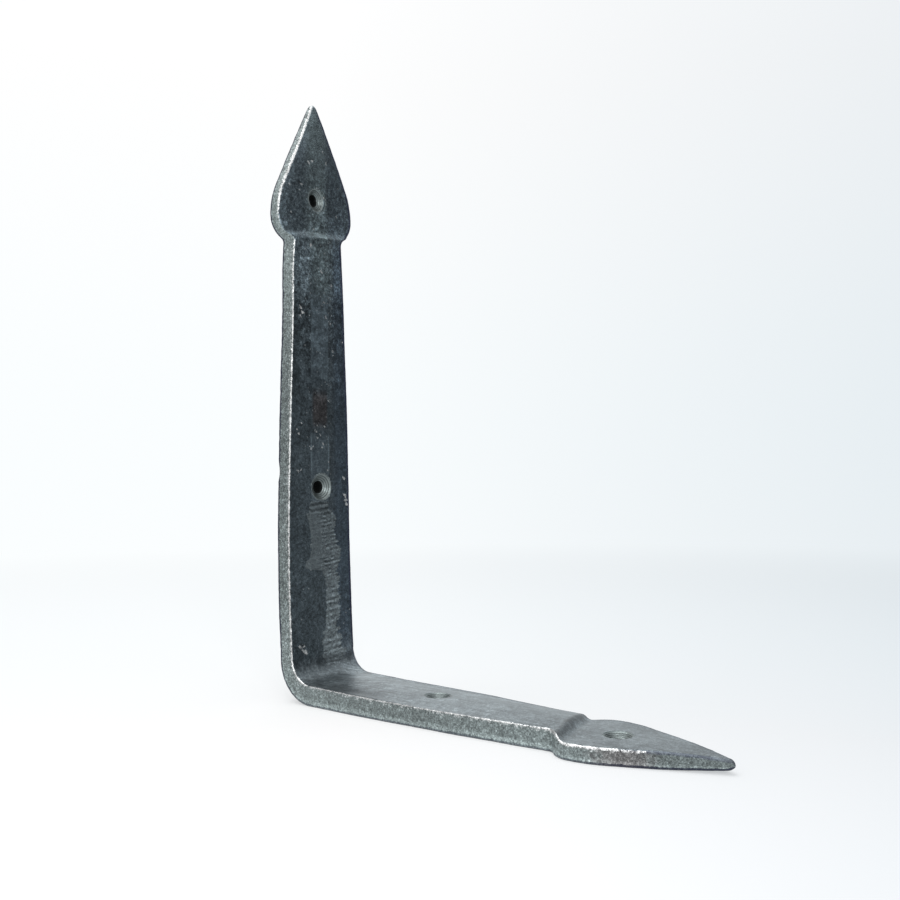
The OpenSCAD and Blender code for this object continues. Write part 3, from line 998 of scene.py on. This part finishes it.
def ironMaterial():
    material, g = newMaterial("forgedIron")
    look = ironLook
    at = IronPoint(g)
    colour = g.blend(at.innerFace, sandySide(g, at),
                     g.blend(at.onShelf, darkFace(g, at), paleFace(g, at)))
    backTone = g.mix(at.onShelf, look["backTone"], look["soleTone"]) * g.exp(
        at.uneven(blotch=1.6, patches=1.8, grain=1.8, grit=1.4))
    colour = g.blend(at.backFace, colour, g.times(look["oxideTint"], backTone))
    worn, bevelShade, shine = wornAndHighlitEdges(g, at)
    edgeShade = paintedEdgeShade(g, at)
    # painted shade on the shelf's inner bevel where it is not worn
    colour = g.blend(bevelShade, colour, look["paintedShadeColour"])
    # bare worn metal on the near inner edge, brightened as a painted highlight
    colour = g.blend(worn, colour, g.times(look["bareTint"], shine))
    # painted shade on the outer edges, the far rim, the foot and the tip's end
    colour = g.blend(edgeShade * g.mix(at.front * at.onShelf, 0.85, 0.5), colour, look["paintedShadeColour"])
    bare = tuple(part * look["bareTone"] for part in look["bareTint"]) + (1.0,)
    colour = g.blend(brightMarks(g, at), colour, bare)

    # countersinks: turned rings in the cone, brighter towards the rim as a painted highlight, and
    # painted shade in the bore
    share = holeShare(g, at.place)
    inHole, cone = g.over(1.0, share), g.over(share, 0.0)
    rings = g.math("SINE", share * (2 * math.pi * look["coneRings"]))
    lit = look["cutTone"] * g.soft(share, 0.75, 0.95, 1.0, 1.5)
    cut = g.times(look["sandTint"], lit * g.exp(rings * 0.35 + at.patches * 0.6))
    # painted shade in the bore
    bore = g.times(look["sandTint"], g.soft(share, -0.05, 0.0, 0.012, 0.05))
    colour = g.blend(inHole, colour, g.blend(cone, bore, cut))

    onTop = at.onShelf * at.innerFace
    rough = 0.46 + at.uneven(patches=0.22, grain=0.2)
    rough = rough - g.least(at.band, 1.0) * 0.06 - at.ground * 0.04 - onTop * 0.04
    rough = g.mix(g.most(at.innerFace, at.backFace), 0.48 + at.uneven(grit=0.3, grain=0.3), rough)
    rough = g.mix(edgeShade, g.mix(worn, rough, 0.30), 0.8)
    rough = g.mix(inHole, rough, g.mix(cone, 0.9, 0.40))
    metal = 0.94 - edgeShade * 0.4 + inHole * (1.0 - cone) * 0.06

    relief = at.grain * g.mix(at.innerFace, 1.5, 1.0) + at.grit * g.mix(at.innerFace, 1.3, 0.6)
    relief = relief * (1.0 - onTop * 0.75) * (1.0 - inHole * 0.8) + rings * cone * inHole * 0.2
    bump = g.node("ShaderNodeBump", {}, {
        "Strength": 1.0, "Distance": look["bumpDepth"] * mm, "Height": relief})
    shader = g.node("ShaderNodeBsdfPrincipled", {}, {
        "Base Color": colour, "Metallic": metal, "Roughness": rough, "Normal": bump})
    g.node("ShaderNodeOutputMaterial", {}, {"Surface": shader})


ironMaterial()
bracket = builtPiece("forgedBracket", strapTree(), strapSizes)
bracket.data.shade_smooth()
bracket.data.set_sharp_from_angle(angle=math.radians(40))
print("strap forged:", len(bracket.data.vertices), "vertices,", len(bracket.data.polygons), "faces")
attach(bracket, "root")
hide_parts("bracket")


studio = {
    "floorSize": 8.0,
    "floorShade": (0.885, 0.875, 0.87),
    "paleColour": (1.0, 1.0, 1.0, 1.0),
    "dimColour": (0.838, 0.868, 0.892, 1.0),    # where the backdrop turns cooler, to the right
    "sweep": (0.77, 0.64, 0.0),     # the way the backdrop dims, and over what share of it
    "sweepRange": (-0.12, 0.42),
    "ahead": (-0.64, 0.77, 0.0),    # the side of the room where it does
    "aheadRange": (-0.5, 0.75),
    "centre": (0.174, -0.224, 0.071),
    "ambient": 0.62,
    "ambientColour": (0.94, 0.97, 1.0, 1.0),
    "shadowLift": 0.55,     # share of backdrop mixed into the floor beside the piece
    "clearRadius": 0.32,    # metres of floor that keep the shadow, before it fades
    "fadeRadius": 0.9,
    # place, what it points at, size, then colour or power
    "darkCard": ((0.75, 0.75, 0.35), (0, 0, 0.1), (1.3, 1.1), (0.03, 0.035, 0.045)),
    "overhead": ((-0.25, 0.0, 1.1), (0, 0, 0.05), (0.9, 0.9), 7.0),
    "key": ((0.62, -0.55, 0.45), (0, 0, 0.1), (0.35, 0.5), 3.5),
}
# brightness of the backdrop by the height of the view's direction
levelLine = (
    (-0.5, 1.08), (-0.35, 1.05), (-0.27, 1.02), (-0.2, 0.98), (-0.138, 0.965), (-0.078, 0.965),
    (0.0, 0.96), (0.09, 0.96), (0.25, 0.98), (0.5, 1.02),
)


def backdropColour(g, direction):
    # white to the left, cooler to the right, a little lower at eye level
    toward = g.vector("NORMALIZE", direction)
    side = g.vector("DOT_PRODUCT", toward, studio["sweep"], out="Value")
    ahead = g.vector("DOT_PRODUCT", toward, studio["ahead"], out="Value")
    cooler = g.ramp(side, *studio["sweepRange"]) * g.soft(ahead, *studio["aheadRange"])
    shown = g.blend(cooler, studio["paleColour"], studio["dimColour"])
    level = g.curve(g.parts(toward).also("Z"), levelLine, 0.9, 1.1)
    dim, bright = g.least(level, 1.0), g.most(level, 1.0)
    return g.times(g.scaled(shown, g.joined(dim, dim * 0.25 + 0.75, 1.0)), bright)


def directlySeen(g):
    path = g.node("ShaderNodeLightPath", out="Is Camera Ray")
    return g.least(path + path.also("Is Glossy Ray") + path.also("Is Transmission Ray"), 1.0)


def floorPaper():
    material, g = newMaterial("floorPaper")
    place = g.node("ShaderNodeTexCoord", out="Object")
    distance = g.vector("LENGTH", place, out="Value")
    seen = backdropColour(g, g.vector("SUBTRACT", place, studio["centre"]))
    lit = g.node("ShaderNodeBsdfDiffuse", {}, {"Color": g.scaled(seen, studio["floorShade"])})
    glow = g.node("ShaderNodeEmission", {}, {"Color": seen, "Strength": 1.0})
    fade = g.soft(distance, studio["clearRadius"], studio["fadeRadius"], studio["shadowLift"], 1.0)
    both = g.node("ShaderNodeMixShader", {}, {0: fade * directlySeen(g), 1: lit, 2: glow})
    g.node("ShaderNodeOutputMaterial", {}, {"Surface": both})
    return material


def makeSheet(name, width, depth, material):
    x, y = width / 2, depth / 2
    mesh = bpy.data.meshes.new(name)
    mesh.from_pydata([(-x, -y, 0), (x, -y, 0), (x, y, 0), (-x, y, 0)], [], [(0, 1, 2, 3)])
    mesh.materials.append(material)
    sheet = bpy.data.objects.new(name, mesh)
    scene.collection.objects.link(sheet)
    return sheet


def aim(thing, at, target):
    thing.location = at
    thing.rotation_euler = (Vector(target) - Vector(at)).to_track_quat("-Z", "Y").to_euler()


def makeFloor(level):
    floor = makeSheet("floor", studio["floorSize"], studio["floorSize"], floorPaper())
    floor.location.z = level
    floor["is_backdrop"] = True


def makeCard(name, at, target, size, shade):
    # a card that the camera does not see, for the iron to reflect
    material, g = newMaterial(name)
    paint = g.node("ShaderNodeBsdfDiffuse", {}, {"Color": shade + (1.0,)})
    g.node("ShaderNodeOutputMaterial", {}, {"Surface": paint})
    card = makeSheet(name, *size, material)
    aim(card, at, target)
    card.visible_camera = False
    card.visible_shadow = False
    card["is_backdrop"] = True


def makeLamp(name, at, target, size, power):
    data = bpy.data.lights.new(name, "AREA")
    data.shape = "RECTANGLE"
    data.size, data.size_y = size
    data.energy = power
    lamp = bpy.data.objects.new(name, data)
    scene.collection.objects.link(lamp)
    aim(lamp, at, target)


def makeWorld():
    # the backdrop where it is seen, an even pale light everywhere else
    world = bpy.data.worlds.new("studio")
    world.use_nodes = True
    world.node_tree.nodes.clear()
    g = Graph(world.node_tree)
    direction = g.node("ShaderNodeTexCoord", out="Generated")
    away = g.node("ShaderNodeBackground", {}, {
        "Color": studio["ambientColour"], "Strength": studio["ambient"]})
    shown = g.node("ShaderNodeBackground", {}, {
        "Color": backdropColour(g, direction), "Strength": 1.0})
    both = g.node("ShaderNodeMixShader", {}, {0: directlySeen(g), 1: away, 2: shown})
    g.node("ShaderNodeOutputWorld", {}, {"Surface": both})
    scene.world = world


makeFloor(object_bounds()[0].z)
makeWorld()
makeCard("darkCard", *studio["darkCard"])
makeLamp("overhead", *studio["overhead"])
makeLamp("key", *studio["key"])
print("studio lit")
